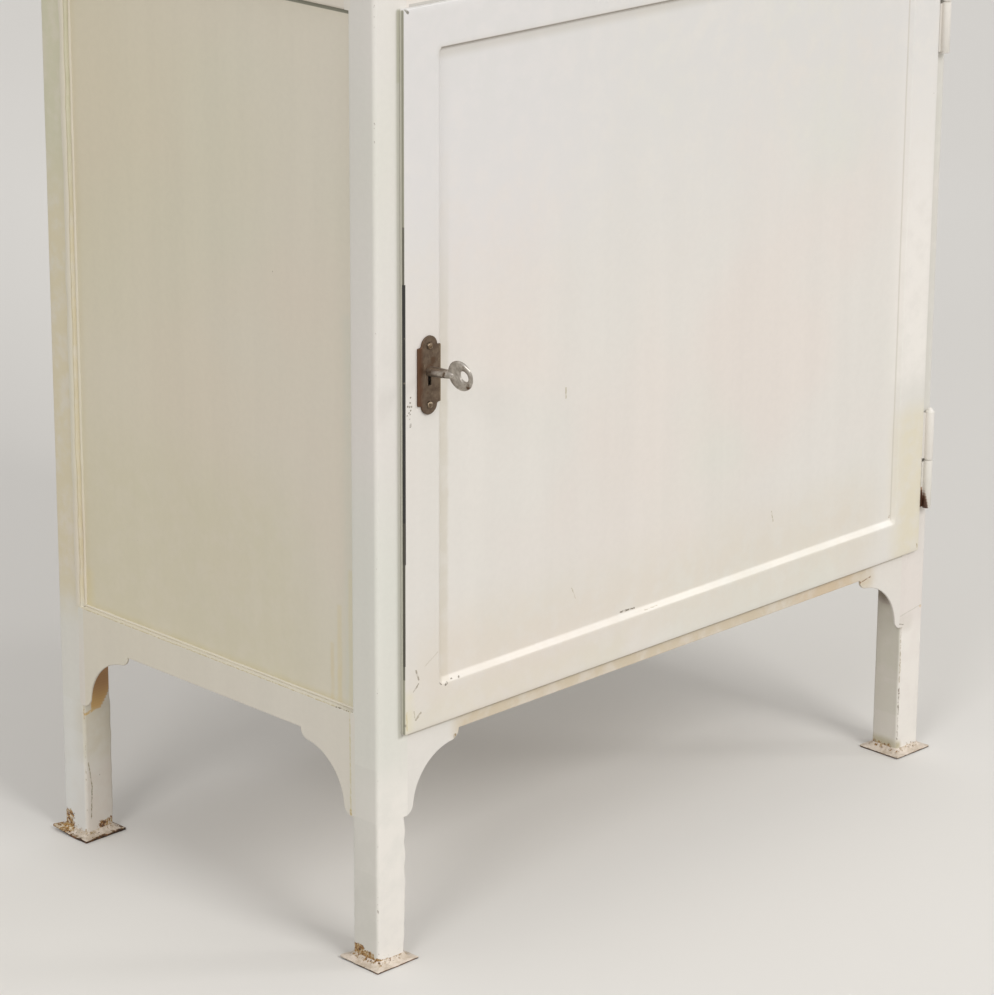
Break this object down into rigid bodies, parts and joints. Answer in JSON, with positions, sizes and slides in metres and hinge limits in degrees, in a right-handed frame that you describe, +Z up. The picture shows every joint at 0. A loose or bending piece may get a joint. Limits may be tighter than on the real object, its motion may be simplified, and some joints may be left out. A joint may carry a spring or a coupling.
{
  "type": "medical cabinet",
  "caption": "Tall steel medical cabinet on legs: a locked cupboard with a pressed door below, and a glazed cupboard with glass shelves above.",
  "frame": {"origin": "on the floor, at the centre of the bounding box's underside", "axes": "+Z up; the front with both doors faces -Y; +X is the hinge side"},
  "size_m": [0.624, 0.4048, 1.5907],
  "materials": {
    "frame_enamel": "old semi-gloss cream enamel, chipped along the edges",
    "door_enamel": "old semi-gloss cream-white enamel, faintly mottled",
    "foot_paint": "worn enamel with rusty edges",
    "plate_metal": "dark brown patina",
    "key_metal": "dull nickel, worn",
    "lock_metal": "plain steel, dulled",
    "window_glass": "clear float glass, faintly green"
  },
  "bodies": {
    "cabinet": {"post_front_left": "frame_enamel", "post_front_right": "frame_enamel", "post_back_left": "frame_enamel", "post_back_right": "frame_enamel", "foot_plate_front_left": "foot_paint", "foot_plate_front_right": "foot_paint", "foot_plate_back_left": "foot_paint", "foot_plate_back_right": "foot_paint", "front_apron": "frame_enamel", "left_apron": "frame_enamel", "right_apron": "frame_enamel", "bottom_rail_back": "frame_enamel", "mid_rail_front": "frame_enamel", "mid_rail_left": "frame_enamel", "mid_rail_right": "frame_enamel", "top_rail_front": "frame_enamel", "top_rail_back": "frame_enamel", "top_rail_left": "frame_enamel", "top_rail_right": "frame_enamel", "left_side_panel": "frame_enamel", "right_side_panel": "frame_enamel", "back_panel": "frame_enamel", "cabinet_floor": "frame_enamel", "middle_deck": "frame_enamel", "top_cover": "frame_enamel", "steel_shelf": "frame_enamel", "steel_shelf_runner_left": "frame_enamel", "steel_shelf_runner_right": "frame_enamel", "glass_shelf_1": "window_glass", "glass_shelf_bearer_1_left": "frame_enamel", "glass_shelf_bearer_1_right": "frame_enamel", "glass_shelf_2": "window_glass", "glass_shelf_bearer_2_left": "frame_enamel", "glass_shelf_bearer_2_right": "frame_enamel", "left_glazing_channel": "frame_enamel", "left_side_glass": "window_glass", "right_glazing_channel": "frame_enamel", "right_side_glass": "window_glass", "lower_hinge_pintle_bottom": "frame_enamel", "lower_hinge_pintle_top": "frame_enamel", "upper_hinge_pintle_bottom": "frame_enamel", "upper_hinge_pintle_top": "frame_enamel"},
    "lower_door": {"lower_door_skin": "door_enamel", "lower_door_liner": "door_enamel", "lower_door_knuckle_bottom": "door_enamel", "lower_door_knuckle_top": "door_enamel", "lower_escutcheon": "plate_metal", "lower_escutcheon_screw_bottom": "plate_metal", "lower_escutcheon_screw_top": "plate_metal", "lower_lock_case": "lock_metal"},
    "lower_bolt": {"lower_lock_bolt": "lock_metal"},
    "key": {"lower_key": "key_metal"},
    "upper_door": {"upper_door_frame": "door_enamel", "upper_door_glass": "window_glass", "upper_door_bead": "door_enamel", "upper_door_knuckle_bottom": "door_enamel", "upper_door_knuckle_top": "door_enamel", "upper_escutcheon": "plate_metal", "upper_lock_case": "lock_metal"},
    "upper_bolt": {"upper_lock_bolt": "lock_metal"}
  },
  "joints": [
    {"name": "lower_door_hinge", "type": "hinge", "parent": "cabinet", "child": "lower_door", "pos_m": [0.293, -0.159, 0.1733], "axis": [0, 0, 1], "range_deg": [0, 180]},
    {"name": "key_turn", "type": "hinge", "parent": "lower_door", "child": "key", "pos_m": [-0.2546, -0.1599, 0.4353], "axis": [0, -1, 0], "range_deg": [0, 360]},
    {"name": "lower_bolt_slide", "type": "slide", "parent": "lower_door", "child": "lower_bolt", "axis": [-1, 0, 0], "range_m": [0, 0.008]},
    {"name": "upper_door_hinge", "type": "hinge", "parent": "cabinet", "child": "upper_door", "pos_m": [0.293, -0.159, 0.7026], "axis": [0, 0, 1], "range_deg": [0, 180]},
    {"name": "upper_bolt_slide", "type": "slide", "parent": "upper_door", "child": "upper_bolt", "axis": [-1, 0, 0], "range_m": [0, 0.008]}
  ],
  "couplings": [
    {"joint": "lower_bolt_slide", "follows": "key_turn", "m_per_rad": 0.001273}
  ]
}
